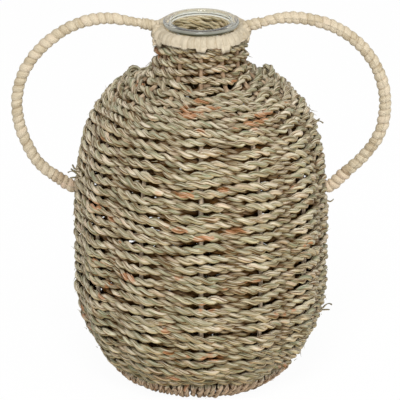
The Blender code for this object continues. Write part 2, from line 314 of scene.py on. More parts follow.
def grow(source, name, tree, sizes, slot, node):
    # runs a node tree on a line, and makes its plain mesh a piece of the basket
    modifier = source.modifiers.new(name, "NODES")
    modifier.node_group = tree
    for item in tree.interface.items_tree:
        if item.in_out == "INPUT" and item.name in sizes:
            modifier[item.identifier] = sizes[item.name]
    graph = bpy.context.evaluated_depsgraph_get()
    grown = source.evaluated_get(graph)
    data = bpy.data.meshes.new_from_object(grown, preserve_all_data_layers=True, depsgraph=graph)
    bpy.data.objects.remove(source)
    for word in keptVectors + keptNumbers:
        if word in data.attributes:
            data.attributes.remove(data.attributes[word])
    fit(addThing(name, data), "basket", slot, node)


# Materials

def newMaterial(name):
    material = bpy.data.materials.new(name)
    material.use_nodes = True
    tree = material.node_tree
    return material, tree, tree.nodes["Principled BSDF"]


def attribute(tree, name, output="Vector"):
    return take(tree, "ShaderNodeAttribute", output=output, attribute_name=name)


def objectPlace(tree):
    return take(tree, "ShaderNodeTexCoord", output="Object")


def ramp(value, stops):
    made = addNode(value.tree, "ShaderNodeValToRGB", {0: value})
    band = made.color_ramp
    while len(band.elements) < len(stops):
        band.elements.new(0.5)
    for element, (place, colour) in zip(band.elements, stops):
        element.position = place
        element.color = (*colour, 1)
    return Field(made.outputs[0])


def mixColour(share, first, second, kind="MIX"):
    first, second = [(*part, 1) if isinstance(part, tuple) else part for part in (first, second)]
    values = {0: share, 6: first, 7: second}
    return take(share.tree, "ShaderNodeMix", values, 2, data_type="RGBA", blend_type=kind)


def finishSurface(shader, colour, height, relief, roughness, specular, metallic=0.0):
    # height is the pattern of the relief, which is so many metres deep
    bumped = take(colour.tree, "ShaderNodeBump", {"Height": height, "Distance": relief, "Strength": 1.0})
    plug(shader, {"Base Color": colour, "Normal": bumped, "Roughness": roughness, "Metallic": metallic,
                  "Specular IOR Level": specular})


def mixSurface(tree, share, first, second):
    mixed = take(tree, "ShaderNodeMixShader", {0: share, 1: first, 2: second})
    plug(tree.nodes["Material Output"], {"Surface": mixed})


def rays(tree, *kinds):
    # 1 for light rays of these kinds, else 0
    path = tree.nodes.new("ShaderNodeLightPath")
    flags = [Field(path.outputs[f"Is {kind} Ray"]) for kind in kinds]
    return sum(flags[1:], flags[0]).calc("MINIMUM", 1.0)


ropeLook = {
    "green": (0.222, 0.234, 0.142),
    "grey": (0.282, 0.25, 0.156),
    "sand": (0.405, 0.345, 0.222),
    "pale": (0.63, 0.56, 0.43),
    "pink": (0.57, 0.41, 0.28),
    "orange": (0.42, 0.165, 0.06),
    "dark": (0.09, 0.037, 0.005),
    "shade": (0.085, 0.031, 0.003),
    "under": (1.0, 0.85, 0.55),  # painted shade: a darker, warmer tint on the sides that face down
    "light": (0.45, 0.31, 0.17),
    "sage": (0.95, 1.03, 0.98),  # tint of the greener stretches
    "orangeShare": 0.125,
    "gloss": 0.35,
    # x, z and reach of patches on the front
    "warmPlaces": [
        (0.002, 0.168, 0.015), (0.028, 0.173, 0.013), (-0.018, 0.174, 0.013), (-0.012, 0.206, 0.012),
        (0.019, 0.21, 0.009), (0.012, 0.053, 0.012), (-0.038, 0.304, 0.009), (-0.01, 0.267, 0.009),
        (0.028, 0.285, 0.006), (0.056, 0.262, 0.008), (-0.064, 0.125, 0.009), (-0.092, 0.18, 0.01),
        (-0.024, 0.028, 0.01),
    ],
    # shares of the painted shade in the blades' creases and the painted highlight on the blades
    "crease": 0.85,
    "shine": 0.6,
    "relief": 0.0008,
    "innerShade": 0.9,
    "innerHeights": (0.285, 0.3),
    "neckPaintedLight": 0.8,             # how far painted light brightens the inside of the neck
    "neckShadeSooner": 0.22,          # how much sooner painted shade darkens the neck's gaps
    "neckHeights": (0.28, 0.29),
    # painted light makes the rope paler at the foot, and painted shade darkens the low wall
    "footPaintedLight": 1.3,
    "footHeights": (0.012, 0.018),
    "lowPaintedShade": -0.1,
    "lowHeights": (0.04, 0.13),
}


def warmPatches(place, spots):
    # where the rope turns orange: at random, and at some spots on the front
    near = place.part(1).between(0.0, 0.001, 0.0, -1.0)
    for x, z, reach in spots:
        away = (place - (x, 0.0, z)) * (0.6, 0.0, 1.6)
        near = near.calc("MAXIMUM", 1.0 - away.length() / reach)
    front = place.part(1).between(-0.001, 0.0, 1.0, 0.0)
    patches = (place * (22.0, 22.0, 60.0) + 5.0).noise() * 0.7
    return patches + (near.between(0.0, 0.7, 0.0, 0.4) + near.between(0.6, 0.75, 0.0, 0.5)) * front


def ropeMaterial(name):
    # grass blades lie along each strand: the strand attribute is round it in x and y, and along it in z
    look = ropeLook
    material, tree, shader = newMaterial(name)
    strand = attribute(tree, "strand")
    place = objectPlace(tree)
    height = place.part(2)
    lengths = (strand * (0.4, 0.4, 60.0)).noise(1.0, 2.0)
    blades = (strand * (1.2, 1.2, 60.0)).noise()
    lines = (strand * (2.3, 2.3, 70.0)).noise()
    areas = place.noise(16.0)
    # painted light at the foot and painted shade on the low wall, by height
    paintedLightAndShade = height.between(*look["footHeights"], look["footPaintedLight"], 0.0)
    paintedLightAndShade = paintedLightAndShade + height.between(*look["lowHeights"], look["lowPaintedShade"], 0.0)
    tone = lengths * 0.7 + blades * 0.5 + areas * 0.16 + paintedLightAndShade + 0.48
    colour = ramp(tone, [(0.12, look["green"]), (0.36, look["grey"]), (0.54, look["sand"]),
                         (0.74, look["pale"]), (0.95, look["pink"])])
    rosy = (strand * (0.5, 0.5, 50.0) + 9.0).noise().between(0.12, 0.36, 0.0, 0.5, smooth=True)
    colour = mixColour(rosy, colour, look["pink"])
    greener = (strand * (0.5, 0.5, 34.0) + 4.0).noise().between(0.05, 0.3, smooth=True)
    colour = mixColour(greener, colour, look["sage"], "MULTIPLY")
    patches = warmPatches(place, look["warmPlaces"] if name == "grassRope" else [])
    warm = patches + (strand * (0.35, 0.35, 85.0) + 3.0).noise() * 0.64
    orange = warm.between(0.5 - look["orangeShare"], 0.62 - look["orangeShare"], 0.0, 0.8, smooth=True)
    colour = mixColour(orange, colour, look["orange"])
    # painted highlight on pale lines along the blades, and painted shade in the creases between them
    shine = lines.between(0.05, 0.3, 0.0, look["shine"], smooth=True)
    colour = mixColour(shine, colour, look["pale"])
    crease = lines.between(-0.3, -0.05, look["crease"], 0.0, smooth=True)
    colour = mixColour(crease, colour, look["dark"])

    # painted shade darkens what lies deep between the ropes, and painted light brightens it inside the neck
    inside = attribute(tree, "inside", "Fac") + height.between(*look["neckHeights"], 0.0, look["neckShadeSooner"])
    deep = inside.between(0.6, 1.25, smooth=True)
    facing = take(tree, "ShaderNodeNewGeometry", output="Normal")
    towards = (place * (1.0, 1.0, 0.0)).calc("NORMALIZE").dot(facing)
    inward = towards.between(-0.2, 0.0, 1.0, 0.0) * height.between(*look["innerHeights"])
    # painted shade: the sides that face down get a darker, warmer tint
    under = facing.part(2).between(-0.7, 0.25, 0.3 if name == "borderRope" else 1.0, 0.0)
    colour = mixColour(under, colour, look["under"], "MULTIPLY")
    # painted shade on the deep parts that face out
    colour = mixColour(deep * (1.0 - inward) * look["innerShade"], colour, look["shade"])
    # painted light on the deep parts inside the neck that face in
    colour = mixColour(deep * inward * look["neckPaintedLight"], colour, look["light"], "SCREEN")
    gloss = (1.0 - deep) * (1.0 - crease) * look["gloss"]
    finishSurface(shader, colour, lines + blades * 0.5, look["relief"], roughness=0.5, specular=gloss)
    return material


print("rope look ready")


# The basket's outline: the outer face of the weave, from the floor up to the collar

basket = {
    "footRadius": 0.0625,
    "bellyRadius": 0.1124,
    "bellyLow": 0.1009,
    "bellyHigh": 0.1664,
    "throatHeight": 0.2915,
    "shoulderHeight": 0.2491,
    "neckRadius": 0.042,
    "neckHeight": 0.3205,
    "weaveTop": 0.3148,      # the weave ends out of sight in the collar
    "footHeight": 0.011,
    "ropeSize": 0.007,
    "neckRopeSize": 0.005,
    "ribSize": 0.004,
    "ribs": 12,
    "footShape": [(0, 0), (0.053, 0.165), (0.176, 0.45), (0.35, 0.7), (0.543, 0.878), (0.743, 0.98), (1, 1)],
    "shoulderShape": [(0, 1), (0.177, 0.978), (0.349, 0.935), (0.522, 0.868), (0.66, 0.76), (0.763, 0.62),
                      (0.839, 0.43), (0.894, 0.22), (0.94, 0.09), (1, 0.035)],
}


def smoothLine(points, steps=10):
    # a smooth curve through all the points, its slope at each one weighted by the spans beside it
    spans = [(end - start).length for start, end in zip(points, points[1:])]
    slopes = [(end - start) / span for start, end, span in zip(points, points[1:], spans)]
    tangents = [slopes[0]]
    for before, after, span, nextSpan in zip(slopes, slopes[1:], spans, spans[1:]):
        tangents.append((before * nextSpan + after * span) / (span + nextSpan))
    tangents.append(slopes[-1])
    line = []
    for index, span in enumerate(spans):
        for step in range(steps):
            t = step / steps
            startWeight = 2 * t ** 3 - 3 * t ** 2 + 1
            leaveWeight = (t ** 3 - 2 * t ** 2 + t) * span
            arriveWeight = (t ** 3 - t ** 2) * span
            line.append(points[index] * startWeight + points[index + 1] * (1 - startWeight)
                        + tangents[index] * leaveWeight + tangents[index + 1] * arriveWeight)
    line.append(points[-1])
    return line


def basketLine():
    points = []
    for shape, narrow, low, high in (
        (basket["footShape"], basket["footRadius"], 0, basket["bellyLow"]),
        (basket["shoulderShape"], basket["neckRadius"], basket["bellyHigh"], basket["throatHeight"]),
    ):
        for rise, spread in shape:
            radius = narrow + (basket["bellyRadius"] - narrow) * spread
            points.append(Vector((radius, low + (high - low) * rise)))
    points.append(Vector((basket["neckRadius"], basket["neckHeight"])))
    return smoothLine(points)


outline = basketLine()


def distanceTo(line, axis, value):
    # how far along a line its radius (axis 0) or height (axis 1) comes to a value
    travelled = 0
    for start, end in zip(line, line[1:]):
        if end[axis] >= value:
            return travelled + (end - start).length * (value - start[axis]) / (end[axis] - start[axis])
        travelled += (end - start).length
    return travelled


def lineLength(line):
    return sum((end - start).length for start, end in zip(line, line[1:]))


def pointAlong(line, distance):
    for start, end in zip(line, line[1:]):
        step = (end - start).length
        if distance <= step:
            return start + (end - start) * (distance / step)
        distance -= step
    return line[-1] + (line[-1] - line[-2]).normalized() * distance


def pointInside(line, distance, depth):
    # a point under a line's outer face, square to it
    reach = basket["ribSize"] / 2
    run = (pointAlong(line, distance + reach) - pointAlong(line, distance - reach)).normalized()
    return pointAlong(line, distance) + Vector((-run.y, run.x)) * depth


# Twisted rope: two strands laid round each other along any line that knows its outward side,
# its rope size, how far it is squashed and which turn it is on

rope = {
    "Lay": 0.023,            # length of one full twist
    "Step": 0.0024,
    "Sides": 8,
    "Strand Offset": 0.225,  # shares of the rope's size
    "Strand Radius": 0.3,
    "Lumps": 0.085,
    "Unevenness": 0.42,
    "From Turn": 0.0,
    "To Turn": 1000.0,
    "Tight Turn": 1000.0,    # the turn from which the rope is twisted harder
    "Extra Twists": 7.0,     # in each turn after that
    "Seed": 1,
}


def buildRopeTree():
    tree, entry, size = startTree("Twisted rope", rope)
    fromMesh = entry.then("SeparateComponents", output="Mesh").then("MeshToCurve")
    line = joinShapes([fromMesh, entry.then("SeparateComponents", output="Curve")])
    line = line.then("ResampleCurve", {"Length": size["Step"]}, mode="LENGTH")
    travelled = take(tree, "GeometryNodeSplineParameter", output="Length")
    run = take(tree, "GeometryNodeInputTangent")
    outward = kept(tree, "outward")
    across = outward.calc("CROSS_PRODUCT", run).calc("NORMALIZE")
    line = keep(line, centre=placeOf(tree), upward=across, along=travelled)
    ropeSize = kept(tree, "ropeSize")
    centre = kept(tree, "centre")
    upward = kept(tree, "upward")
    along = kept(tree, "along")
    turn = kept(tree, "turn")
    seed = size["Seed"]
    drift = join3(along * 14.0, seed * 3.7, 0.0).noise() * size["Unevenness"] * 5.0
    tight = (turn - size["Tight Turn"]).calc("MAXIMUM", 0.0) * size["Extra Twists"] * -fullTurn
    strands = []
    for number in range(2):
        twist = along / size["Lay"] * -fullTurn + tight + drift + number * math.pi
        wobble = join3(along * 60.0, seed * 5.3, number * 9.0).noise(1.0, 2.0)
        offset = (outward * twist.cosine() + upward * twist.sine()) * (ropeSize * size["Strand Offset"])
        thick = ropeSize * size["Strand Radius"] * (wobble * size["Unevenness"] * 1.6 + 1.0)
        strand = move(line, centre + offset).then("SetCurveRadius", {"Radius": thick})
        strands.append(keep(strand, ply=float(number)))
    line = joinShapes(strands)
    for limit, action in (("From Turn", "LESS_THAN"), ("To Turn", "GREATER_THAN")):
        beyond = take(tree, "FunctionNodeCompare", {0: turn, 1: size[limit]}, operation=action)
        line = line.then("DeleteGeometry", {1: beyond}, domain="POINT")
    shape = sweep(line, size["Sides"], take(tree, "GeometryNodeInputRadius"))

    # the rope is pressed flat where the rows cross each other
    squash = kept(tree, "squash")
    away = placeOf(tree) - centre
    flatter = upward * (away.dot(upward) * (squash - 1.0))
    deeper = outward * (away.dot(outward) * ((1.0 - squash) * 0.35))
    shape = move(shape, placeOf(tree) + flatter + deeper)
    facing = take(tree, "GeometryNodeInputNormal")
    lumps = placeOf(tree).noise(300.0, 2.0) * (ropeSize * size["Lumps"])
    shape = move(shape, placeOf(tree) + facing * lumps)
    angle = kept(tree, "around") * fullTurn
    strand = join3(angle.cosine() + kept(tree, "ply") * 7.0, angle.sine() + seed * 11.0, along)
    inside = (kept(tree, "depth") - away.dot(outward)) / ropeSize
    return endTree(keep(shape, strand=strand, inside=inside), size["Material"])


ropeTree = buildRopeTree()


def ropeAlong(line, values):
    # the rope tree as a part of another one
    return take(line.tree, "GeometryNodeGroup", {"Geometry": line, **rope, **values}, node_tree=ropeTree)


# The woven wall: two ropes that climb round the ribs, each in front of every second one

weave = {
    "Row Pitch": 0.00475,
    "Rows": 70,
    "First Row": 0.0,         # in row pitches above the start
    "Start": 0.0,             # along the outline
    "Over First": 1.0,
    "Points A Turn": 144,
    "Ribs": basket["ribs"],
    "Rib Size": basket["ribSize"],
    "Rope Size": basket["ropeSize"],
    "Neck Rope Size": 0.0064,
    "Shoulder Height": basket["shoulderHeight"],
    "Throat Height": basket["throatHeight"],
    "Crossing Height": 1.35,  # in row pitches, the height that a rope keeps where the rows cross
    "Fullness": 1.18,         # how much taller than deep the rope is
    "Neck Fullness": 1.04,
    "Weave Depth": 0.8,       # share of a rope and a rib that a rope goes in behind a rib
    "End Weave Depth": 0.5,   # the same at the foot and in the neck
    "Foot Low": 0.012,
    "Foot High": 0.06,
    "Inset": 0.0004,
    "Calm Start": 0.02,       # how far from each end the rows still sway less
    "Calm End": 0.03,
    "Still End": 0.006,
    "Row Sway": 0.003,
    "Row Shake": 0.0018,
    "Depth Shake": 0.0019,
}


def buildWeaveTree():
    shared = ("From Turn", "To Turn", "Tight Turn", "Seed")
    tree, entry, size = startTree("Woven rope", {**weave, **{name: rope[name] for name in shared}})
    line, index = newLine(tree, size["Rows"] * 0.5 * size["Points A Turn"] + 1.0)
    turn = index / size["Points A Turn"]
    angle = turn * fullTurn
    seed = size["Seed"]
    pitch = size["Row Pitch"]
    climb = size["Start"] + (turn * 2.0 + size["First Row"]) * pitch
    sway = angle.around(2.4, climb * 42.0).noise() * size["Row Sway"]
    shake = join3(turn * 9.0, seed * 3.3, 0.0).noise() * size["Row Shake"]
    last = size["Start"] + size["Rows"] * pitch
    steady = (climb - size["Start"]).between(0.0, size["Calm Start"], 0.2, 1.0)
    steady = steady * (last - climb).between(size["Still End"], size["Calm End"])
    distance = climb + (sway + shake) * 2.0 * steady
    place, run = sampleLine(entry.then("MeshToCurve"), "LENGTH", {"Length": distance})[:2]
    height = place.part(2)

    def upNeck(low, high):
        # from its value under the shoulders to that in the neck
        return height.between(size["Shoulder Height"], size["Throat Height"], low, high)

    ropeSize = upNeck(size["Rope Size"], size["Neck Rope Size"])
    wave = (angle * size["Ribs"] * 0.5).cosine() * size["Over First"]
    loose = join3(turn * 13.0, seed * 6.1, 4.0).noise() * size["Depth Shake"]
    foot = height.between(size["Foot Low"], size["Foot High"], size["End Weave Depth"], size["Weave Depth"],
                          smooth=True)
    neck = upNeck(1.0, size["End Weave Depth"] / size["Weave Depth"])
    behind = (0.5 - wave * (wave * wave * 0.2 + 0.3)) * foot * neck
    depth = ropeSize * 0.5 + behind * (ropeSize + size["Rib Size"]) + loose + size["Inset"]
    full = upNeck(size["Fullness"], size["Neck Fullness"])
    least = (pitch * size["Crossing Height"] / (ropeSize * full)).calc("MINIMUM", 1.0)
    crossing = 1.0 - wave * wave
    squash = (1.0 - (1.0 - least) * crossing * crossing) * full
    outward = angle.around(run.part(2), run.part(0) * -1.0)
    line = keep(line, outward=outward, ropeSize=ropeSize, squash=squash, depth=depth, turn=turn)
    line = move(line, angle.around(place.part(0) - run.part(2) * depth, height + run.part(0) * depth))
    shape = ropeAlong(line, {name: size[name] for name in (*shared, "Material")})
    return endTree(shape, size["Material"])


def weaveWall(material):
    tree = buildWeaveTree()
    points = outline + [Vector((basket["neckRadius"], basket["weaveTop"] + basket["ropeSize"]))]
    start = distanceTo(outline, 1, basket["footHeight"])
    length = lineLength(outline) + basket["weaveTop"] - basket["neckHeight"] - start
    rows = round(length / weave["Row Pitch"])
    turns = rows / 2
    tight = (distanceTo(outline, 1, basket["shoulderHeight"]) - start) / length * turns
    parts = 3
    for seed, letter, over, first in ((1, "a", 1.0, 0.5), (2, "b", -1.0, 1.5)):
        for part in range(parts):
            sizes = {
                "Start": start, "Rows": rows, "Row Pitch": length / rows,
                "Over First": over, "First Row": first,
                "From Turn": turns * part / parts, "To Turn": turns * (part + 1) / parts,
                "Tight Turn": tight, "Seed": seed, "Material": material,
            }
            line = lineMesh("basketOutline", upright(points))
            grow(line, f"wall_rope_{letter}_{part + 1}", tree, sizes, "grass_rope", "woven_wall")


grassRope = ropeMaterial("grassRope")
weaveWall(grassRope)
print("wall woven")


# Foot: rope wrapped round the base ring, over a closed loop drawn in the plane of the outline

coil = {
    "Turns": 82,
    "Points A Turn": 16,
    "Rope Size": 0.005,
    "Unevenness": 0.002,
    "Spacing": 0.036,        # how much the wraps crowd, in radians
    "Lean": 3.0,
    "Seed": 5,
}

foot = {
    "top": 0.013,            # height that the wraps reach
    "depth": 0.0078,         # how far in the wraps come back down
    "stops": 7,
    "lay": 0.017,
    "step": 0.002,
}


def buildCoilTree():
    tree, entry, size = startTree("Rope coil", coil)
    line, index = newLine(tree, size["Turns"] * size["Points A Turn"])
    line = line.then("SetSplineCyclic", {"Cyclic": True})
    seed = size["Seed"]
    turn = index / size["Points A Turn"]
    angle = turn / size["Turns"] * fullTurn
    place, run = sampleLine(entry.then("MeshToCurve"), "FACTOR", {"Factor": turn.calc("FRACT")})[:2]
    bulge = join3(turn * 1.7, seed * 4.1, 0.0).noise() * size["Unevenness"]
    radius = place.part(0) + run.part(2) * bulge
    height = (place.part(2) - run.part(0) * bulge).calc("MAXIMUM", size["Rope Size"] * 0.5)
    shake = join3(turn * 0.9, seed * 2.3, 7.0).noise() * size["Spacing"]
    lean = angle.around(2.0, seed).noise() * size["Lean"]
    angle = angle + shake + (height - size["Rope Size"]) * lean
    outward = angle.around(run.part(2), run.part(0) * -1.0)
    line = keep(line, outward=outward, ropeSize=size["Rope Size"], squash=1.0)
    line = move(line, angle.around(radius, height))
    values = {"Lay": foot["lay"], "Step": foot["step"], "Seed": seed, "Material": size["Material"]}
    shape = ropeAlong(line, values)
    place = placeOf(tree)
    rested = join3(place.part(0), place.part(1), place.part(2).calc("MAXIMUM", 0.0))
    return endTree(move(shape, rested), size["Material"])


def wrapFoot(material):
    # up the outer face, over the top and back down inside
    top = distanceTo(outline, 1, foot["top"])
    half = coil["Rope Size"] / 2
    stops = [top * step / (foot["stops"] - 1) for step in range(foot["stops"])]
    points = [pointInside(outline, stop, half) for stop in stops]
    points += [pointInside(outline, stop, foot["depth"]) for stop in reversed(stops)]
    loop = lineMesh("footLoop", [(point.x, 0, max(point.y, half)) for point in points], closed=True)
    grow(loop, "foot_rope", buildCoilTree(), {"Material": material}, "border_rope", "foot_border")


def layRope(name, lines, outwards, size, values, slot, node, depth=0.0):
    # one or more lines of rope, each point with its outward side
    thing = lineMesh(name, *lines)
    carry(thing, "outward", outwards)
    for word, value in (("ropeSize", size), ("squash", 1.0), ("depth", depth)):
        carry(thing, word, [value] * len(outwards))
    grow(thing, name, ropeTree, values, slot, node)


# Base: one rope laid in a flat spiral inside the foot

base = {
    "pointsATurn": 40,
    "coreShare": 0.002,      # where the spiral starts, as a share of its length
    "fill": 0.97,            # the rope's size as a share of the floor's thickness
}


def coilBase(material):
    low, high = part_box("woven_base")
    size = high.z - low.z
    edge = high.x - size / 2
    turns = round(edge / size)
    count = turns * base["pointsATurn"]
    points = []
    for index in range(count + 1):
        share = max(index / count, base["coreShare"])
        angle = fullTurn * turns * share
        points.append((edge * share * math.cos(angle), edge * share * math.sin(angle), (low.z + high.z) / 2))
    outwards = [(0, 0, 1)] * len(points)
    values = {"Seed": 9, "Material": material}
    layRope("base_rope", [points], outwards, size * base["fill"], values, "floor_rope", "woven_base")


# The last rows of the weave are turned in under the collar, where they show through the glass

topRows = {
    "ropeSize": 0.0054,
    "lay": 0.019,
    "radius": 0.0315,
    "low": 0.3125,
    "high": 0.3218,
    "turns": 2.4,
    "sway": 0.0009,
    "radiusWaves": 5.3,      # in a turn
    "heightWaves": 3.7,
    "points": 200,
}


def layTopRows(material):
    points = []
    outwards = []
    for index in range(topRows["points"] + 1):
        share = index / topRows["points"]
        angle = fullTurn * topRows["turns"] * share
        radius = topRows["radius"] + topRows["sway"] * math.sin(angle * topRows["radiusWaves"])
        height = topRows["low"] + (topRows["high"] - topRows["low"]) * share
        height += topRows["sway"] * math.cos(angle * topRows["heightWaves"])
        points.append((radius * math.cos(angle), radius * math.sin(angle), height))
        outwards.append((math.cos(angle), math.sin(angle), 0))
    values = {"Seed": 14, "Lay": topRows["lay"], "Material": material}
    layRope("wall_rope_top", [points], outwards, topRows["ropeSize"], values, "grass_rope", "woven_wall",
            2 * topRows["ropeSize"])


# Rope ends that stand off the shoulders in a small loop, and tufts of stray grass

loops = {
    # the middle of each, and which way it runs
    "places": [(-0.0600, 0.026, 0.2730, 1), (0.0595, 0.027, 0.2740, -1)],
    "length": 0.013,
    "lift": 0.0055,
    "sink": 0.003,
    "slant": 0.002,
    "outwardRise": 0.035,
    "steps": 12,
    "ropeSize": 0.0058,
    "lay": 0.014,
}

tufts = {
    # where it starts, where it points, and how many blades
    "places": [
        ((-0.1080, -0.022, 0.1960), (-0.0062, -0.001, 0.0022), 4),
        ((0.0985, -0.012, 0.2405), (0.0062, 0.0, 0.0003), 2),
        ((0.1100, -0.020, 0.1700), (0.0085, 0.0, 0.0014), 1),
        ((0.1080, -0.012, 0.0650), (0.0055, 0.0, 0.001), 2),
    ],
    "shares": (-0.4, 0, 0.2, 0.4, 0.6, 0.8, 1),
    "baseSpread": 0.0016,
    "tipSpread": 0.0011,
    "bend": 0.0022,
    "bladeSize": 0.0015,
    "lay": 0.02,
    "step": 0.0012,
    "sides": 5,
}


def addLoops(material):
    lines = []
    outwards = []
    for x, y, z, side in loops["places"]:
        out = Vector((x, y, loops["outwardRise"])).normalized()
        run = Vector((-y, x, 0)).normalized() * side
        line = []
        for step in range(loops["steps"] + 1):
            turn = math.pi * step / loops["steps"]
            rise = loops["lift"] * math.sin(turn) - loops["sink"]
            line.append(Vector((x, y, z)) - run * loops["length"] / 2 * math.cos(turn) + out * rise
                        + Vector((0, 0, loops["slant"] * math.cos(turn))))
        lines.append(line)
        outwards += [tuple(out)] * len(line)
    values = {"Seed": 21, "Lay": loops["lay"], "Material": material}
    layRope("rope_ends", lines, outwards, loops["ropeSize"], values, "grass_rope", "woven_wall")


def addTufts(material):
    lines = []
    for number, (start, aim, count) in enumerate(tufts["places"]):
        for blade in range(count):
            spread = 1.6 * (blade - (count - 1) / 2)
            bend = math.sin(number * 2.1 + blade * 1.7)
            root = Vector(start) + Vector((0, 0, tufts["baseSpread"] * spread))
            tip = Vector(aim) * (1.0 + 0.35 * bend) + Vector((0, 0, tufts["tipSpread"] * spread))
            side = Vector((0, 0, tufts["bend"] * bend))
            shares = tufts["shares"]
            lines.append([root + tip * share + side * math.sin(math.pi * share) for share in shares])
    outwards = [(0, -1, 0)] * sum(len(line) for line in lines)
    values = {"Seed": 23, "Step": tufts["step"], "Sides": tufts["sides"], "Lay": tufts["lay"],
              "Material": material}
    layRope("stray_grass", lines, outwards, tufts["bladeSize"], values, "grass_rope", "woven_wall")


# Wound strips: a flat strip wound round a line, each turn standing out between two grooves

wound = {
    "Radius": 0.0053,
    "Pitch": 0.0069,
    "Starts": 1.0,           # how many strips lie side by side
    "Groove": 0.22,          # share of the radius
    "Turn Change": 0.09,     # how much one turn differs in size from the next, as a share
    "Taper Length": 0.0001,
    "Taper Share": 0.0,
    "Sides": 24,
    "Steps A Turn": 9,
    "Unevenness": 0.05,
    "Seed": 1,
}


def buildWoundTree():
    tree, entry, size = startTree("Wound strip", wound)
    step = size["Pitch"] / size["Steps A Turn"]
    line = entry.then("MeshToCurve").then("ResampleCurve", {"Length": step}, mode="LENGTH")
    travelled = take(tree, "GeometryNodeSplineParameter", output="Length")
    shape = sweep(keep(line, along=travelled, centre=placeOf(tree)), size["Sides"], size["Radius"])
    along = kept(tree, "along")
    around = kept(tree, "around")
    angle = around * fullTurn
    turns = along / size["Pitch"]
    seed = size["Seed"] * 5.7
    drift = join3(along * 45.0, seed, 0.0).noise() * 0.45
    phase = turns + drift - around * size["Starts"]
    lift = (phase * math.pi).sine().calc("ABSOLUTE").calc("POWER", 0.75)
    tone = chance(tree, size["Seed"], ID=phase.calc("FLOOR"))
    lumps = join3(angle.cosine() * 0.7, angle.sine() * 0.7 + seed, turns * 1.3).noise(1.0, 2.0)
    taper = 1.0 - along.between(0.0, size["Taper Length"], 1.0, 0.0) * size["Taper Share"]
    change = (tone - 0.5) * size["Turn Change"] + lumps * size["Unevenness"]
    radius = size["Radius"] * taper * (1.0 - size["Groove"] + lift * size["Groove"] + change)
    centre = kept(tree, "centre")
    shape = move(shape, centre + (placeOf(tree) - centre).calc("NORMALIZE") * radius)
    strip = join3(angle.cosine(), angle.sine() + seed, phase)
    return endTree(keep(shape, strip=strip, lift=lift, tone=tone), size["Material"])


woundTree = buildWoundTree()


# Handles: the loop runs from the neck ring out, round and back in to the rib at the belly

handles = {
    "gap": 0.0003,
    "collarHeight": 0.0064,
    "collarWall": 0.0018,
    "collarStrip": 0.001,
    "overhang": 0.0484,
    "lead": 0.0155,
    "clearance": 0.0108,
    "rise": 0.0108,
    "halfHeight": 0.0797,
    "firstTurn": math.radians(107),
    "seatDrop": 0.0083,
    "loopPoints": 9,
    "pathSteps": 120,
    "collarBinding": 0.009,
    "bindingReach": 0.0055,  # how far the binding goes into the collar
    "wallBinding": 0.022,
    "wallReach": 0.004,
    "radius": {"left": 0.0053, "right": 0.0055},
    # the two loops aren't quite alike: at which share of its length each bends, over how wide a share,
    # and how far out
    "bends": {
        "left": [(0.38, 0.2, -0.0016), (0.86, 0.13, 0.0022)],
        "right": [(0.12, 0.09, 0.0015), (0.84, 0.14, -0.0022)],
    },
    # from the handle's end down the collar's side
    "tails": {
        "left": [(0.0375, -0.006, 0.3262), (0.0392, -0.009, 0.3222), (0.0393, -0.0105, 0.3165),
                 (0.0388, -0.0125, 0.3105)],
        "right": [(0.0375, -0.005, 0.3255), (0.0392, -0.008, 0.3215), (0.0392, -0.0105, 0.3175),
                  (0.0385, -0.0135, 0.3145)],
    },
}

# Each winding's slot, the CAD piece whose place it takes, what is added to its seed, and its sizes
windings = {
    "collar_tail": ("pale_strip", "collar_lashing", 1,
                    {"Radius": 0.0034, "Pitch": 0.0038, "Groove": 0.25, "Unevenness": 0.2}),
    "collar_binding": ("pale_strip", "collar_lashing", 0,
                       {"Radius": 0.0052, "Pitch": 0.0052, "Starts": 2.0, "Groove": 0.2}),
    "handle_strip": ("pale_strip", "handle_wrap", 0,
                     {"Taper Length": 0.03, "Taper Share": 0.26, "Unevenness": 0.07}),
    "wall_binding": ("tan_strip", "wall_lashing", 0,
                     {"Radius": 0.0058, "Pitch": 0.0056, "Groove": 0.26}),
}


def handleLine():
    gap, rib = handles["gap"], basket["ribSize"] / 2
    ringRadius = basket["neckRadius"] - basket["neckRopeSize"] - rib
    collarTop = basket["neckHeight"] + gap + handles["collarHeight"]
    ringHeight = collarTop - handles["collarWall"] - gap - rib
    reach = basket["bellyRadius"] + handles["overhang"]
    halfWidth = (reach - basket["neckRadius"] - handles["lead"]) / (1 - math.cos(handles["firstTurn"]))
    middle = Vector((reach - halfWidth, basket["neckHeight"] + handles["rise"] - handles["halfHeight"]))
    lastTurn = -math.acos((basket["bellyRadius"] + handles["clearance"] - middle.x) / halfWidth)
    seatHeight = middle.y + handles["halfHeight"] * math.sin(lastTurn) - handles["seatDrop"]
    points = [Vector((ringRadius, ringHeight))]
    for index in range(handles["loopPoints"]):
        turn = handles["firstTurn"] + (lastTurn - handles["firstTurn"]) * index / (handles["loopPoints"] - 1)
        points.append(middle + Vector((halfWidth * math.cos(turn), handles["halfHeight"] * math.sin(turn))))
    seat = distanceTo(outline, 1, seatHeight)
    face = pointAlong(outline, seat).x
    points.append(Vector((face, seatHeight)))
    points.append(Vector((pointInside(outline, seat, basket["ropeSize"] + rib).x, seatHeight)))
    return smoothLine(points), face


def bentLine(line, bends):
    length = lineLength(line)
    bent = []
    travelled = 0
    for index, point in enumerate(line):
        run = (line[min(index + 1, len(line) - 1)] - line[max(index - 1, 0)]).normalized()
        shift = 0
        for middle, reach, amount in bends:
            away = min(abs(travelled / length - middle) / reach, 1)
            shift += amount * (1 + math.cos(math.pi * away)) / 2
        bent.append(point + Vector((-run.y, run.x)) * shift)
        if index + 1 < len(line):
            travelled += (line[index + 1] - point).length
    return bent


